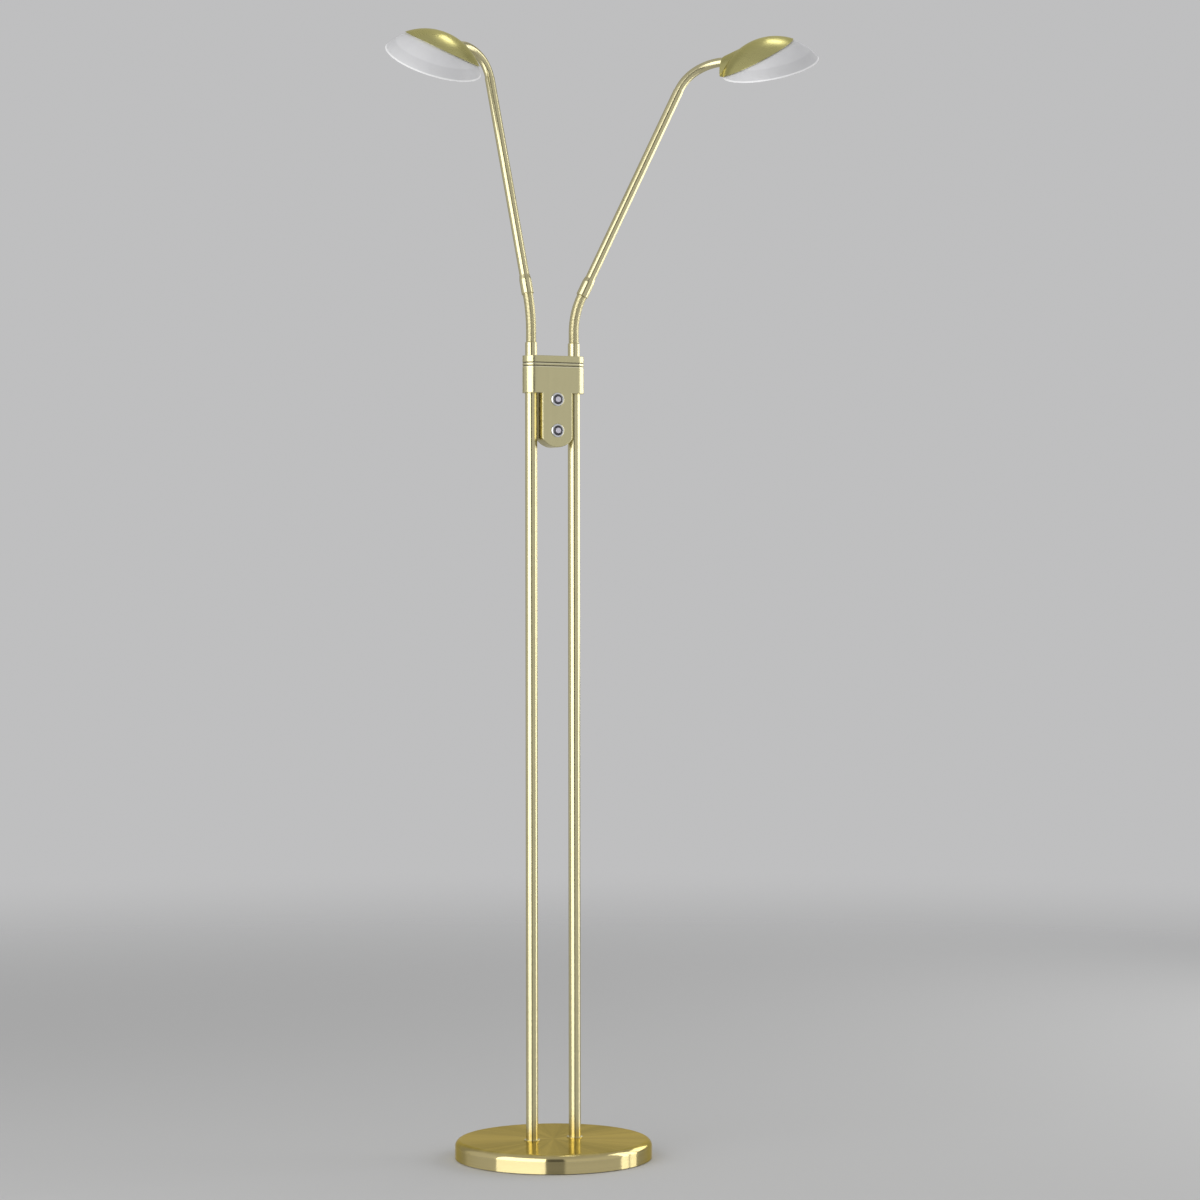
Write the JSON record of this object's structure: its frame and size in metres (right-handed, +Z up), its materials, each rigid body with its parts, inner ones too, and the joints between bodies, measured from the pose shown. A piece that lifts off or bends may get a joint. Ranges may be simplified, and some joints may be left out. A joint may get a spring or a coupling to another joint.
{
  "type": "twin-arm floor reading lamp",
  "caption": "Floor reading lamp: weighted disc base, twin poles, button box, and bendable arms with swivelling frosted heads under brass covers.",
  "frame": {"origin": "on the floor, at the middle of the round base's resting face", "axes": "+Z up, +X to the right-hand arm, -Y to the front, where the two push buttons face"},
  "size_m": [0.5494, 0.3019, 1.4866],
  "materials": {
    "foot_felt": "pressed felt",
    "cast_weight": "as cast",
    "brass_base": "spun, fine circular brushing",
    "black_plastic": "moulded",
    "lead_sheath": "smooth sheath",
    "brass_tube": "satin lacquered tube",
    "steel_fixing": "zinc plated",
    "brass_housing": "satin pressed shell",
    "cast_aluminium": "die cast",
    "circuit_board": "solder resist",
    "bright_chrome": "polished",
    "brass_ferrule": "satin turned",
    "brass_gooseneck": "satin ribbed flexible tube",
    "brass_cover": "satin pressed shell",
    "frosted_glass": "frosted white",
    "opal_plastic": "opal",
    "light_chip": "phosphor",
    "dark_key_ring": "fine matte",
    "grey_key_cap": "satin grey"
  },
  "bodies": {
    "stand": {"base_pad": "foot_felt", "base_weight": "cast_weight", "base_cover": "brass_base", "power_inlet": "black_plastic", "supply_lead": "lead_sheath", "pole_left": "brass_tube", "pole_right": "brass_tube", "pole_plugs": "steel_fixing", "pole_nipples": "steel_fixing", "pole_nuts": "steel_fixing", "pole_collars": "brass_base", "housing_front": "brass_housing", "housing_back": "brass_housing", "housing_screws": "steel_fixing", "clamp_block": "cast_aluminium", "control_board": "circuit_board", "board_screws": "steel_fixing", "push_switches": "black_plastic", "button_bezel_upper": "bright_chrome", "button_bezel_lower": "bright_chrome", "lower_ferrule_left": "brass_ferrule", "lower_ferrule_right": "brass_ferrule", "lower_neck_left_root": "brass_gooseneck", "lower_neck_right_root": "brass_gooseneck"},
    "lower_link_left": {"lower_neck_left_tip": "brass_gooseneck"},
    "arm_left": {"upper_ferrule_left": "brass_ferrule", "arm_tube_left": "brass_tube", "arm_lead_left": "lead_sheath", "upper_neck_left_root": "brass_tube"},
    "upper_link_left": {"upper_neck_left_tip": "brass_tube"},
    "neck_end_left": {"head_pivot_left": "brass_ferrule", "pivot_clip_left": "steel_fixing"},
    "head_left": {"head_cover_left": "brass_cover", "head_shade_left": "frosted_glass", "head_carrier_left": "cast_aluminium", "head_screws_left": "steel_fixing", "head_diffuser_left": "opal_plastic", "light_board_left": "circuit_board", "light_chips_left": "light_chip"},
    "lower_link_right": {"lower_neck_right_tip": "brass_gooseneck"},
    "arm_right": {"upper_ferrule_right": "brass_ferrule", "arm_tube_right": "brass_tube", "arm_lead_right": "lead_sheath", "upper_neck_right_root": "brass_tube"},
    "upper_link_right": {"upper_neck_right_tip": "brass_tube"},
    "neck_end_right": {"head_pivot_right": "brass_ferrule", "pivot_clip_right": "steel_fixing"},
    "head_right": {"head_cover_right": "brass_cover", "head_shade_right": "frosted_glass", "head_carrier_right": "cast_aluminium", "head_screws_right": "steel_fixing", "head_diffuser_right": "opal_plastic", "light_board_right": "circuit_board", "light_chips_right": "light_chip"},
    "button_upper": {"button_upper": "dark_key_ring", "button_lens_upper": "grey_key_cap"},
    "button_lower": {"button_lower": "dark_key_ring", "button_lens_lower": "grey_key_cap"}
  },
  "joints": [
    {"name": "lower_neck_left_swing", "type": "hinge", "parent": "stand", "child": "lower_link_left", "pos_m": [-0.0306, 0.00001, 1.0918], "axis": [0, 1, 0], "range_deg": [-55, 5], "deforming": ["lower_neck_left_root"]},
    {"name": "lower_neck_left_lean", "type": "hinge", "parent": "lower_link_left", "child": "arm_left", "pos_m": [-0.03149, 0.00289, 1.12362], "axis": [0.9986, 0, 0.0528], "range_deg": [-30, 45], "deforming": ["lower_neck_left_tip"]},
    {"name": "upper_neck_left_nod", "type": "hinge", "parent": "arm_left", "child": "upper_link_left", "pos_m": [-0.06135, 0.08438, 1.45199], "axis": [0.4396, -0.861, 0.2557], "range_deg": [-50, 20], "deforming": ["upper_neck_left_root"]},
    {"name": "upper_neck_left_sway", "type": "hinge", "parent": "upper_link_left", "child": "neck_end_left", "pos_m": [-0.08995, 0.0749, 1.47176], "axis": [-0.0005, 0.2844, 0.9587], "range_deg": [-30, 30], "deforming": ["upper_neck_left_tip"]},
    {"name": "head_left_swivel", "type": "hinge", "parent": "neck_end_left", "child": "head_left", "pos_m": [-0.10534, 0.06456, 1.47047], "axis": [-0.7467, -0.6046, -0.2773], "range_deg": [-60, 60]},
    {"name": "lower_neck_right_swing", "type": "hinge", "parent": "stand", "child": "lower_link_right", "pos_m": [0.03062, 0, 1.0918], "axis": [0, 1, 0], "range_deg": [-24, 36], "deforming": ["lower_neck_right_root"]},
    {"name": "lower_neck_right_lean", "type": "hinge", "parent": "lower_link_right", "child": "arm_right", "pos_m": [0.03557, -0.00116, 1.12328], "axis": [0.9568, 0, -0.2907], "range_deg": [-40, 30], "deforming": ["lower_neck_right_tip"]},
    {"name": "upper_neck_right_nod", "type": "hinge", "parent": "arm_right", "child": "upper_link_right", "pos_m": [0.17927, -0.03546, 1.42966], "axis": [0.4296, 0.8972, -0.102], "range_deg": [-30, 30], "deforming": ["upper_neck_right_root"]},
    {"name": "upper_neck_right_sway", "type": "hinge", "parent": "upper_link_right", "child": "neck_end_right", "pos_m": [0.20746, -0.04909, 1.44915], "axis": [-0.1929, 0.2015, 0.9603], "range_deg": [-30, 30], "deforming": ["upper_neck_right_tip"]},
    {"name": "head_right_swivel", "type": "hinge", "parent": "neck_end_right", "child": "head_right", "pos_m": [0.22076, -0.0619, 1.45172], "axis": [0.6388, -0.7694, -0.0052], "range_deg": [-60, 60]},
    {"name": "button_upper_press", "type": "slide", "parent": "stand", "child": "button_upper", "axis": [0, 1, 0], "range_m": [0, 0.0015], "stiffness_N_per_m": 1200},
    {"name": "button_lower_press", "type": "slide", "parent": "stand", "child": "button_lower", "axis": [0, 1, 0], "range_m": [0, 0.0015], "stiffness_N_per_m": 1200}
  ]
}
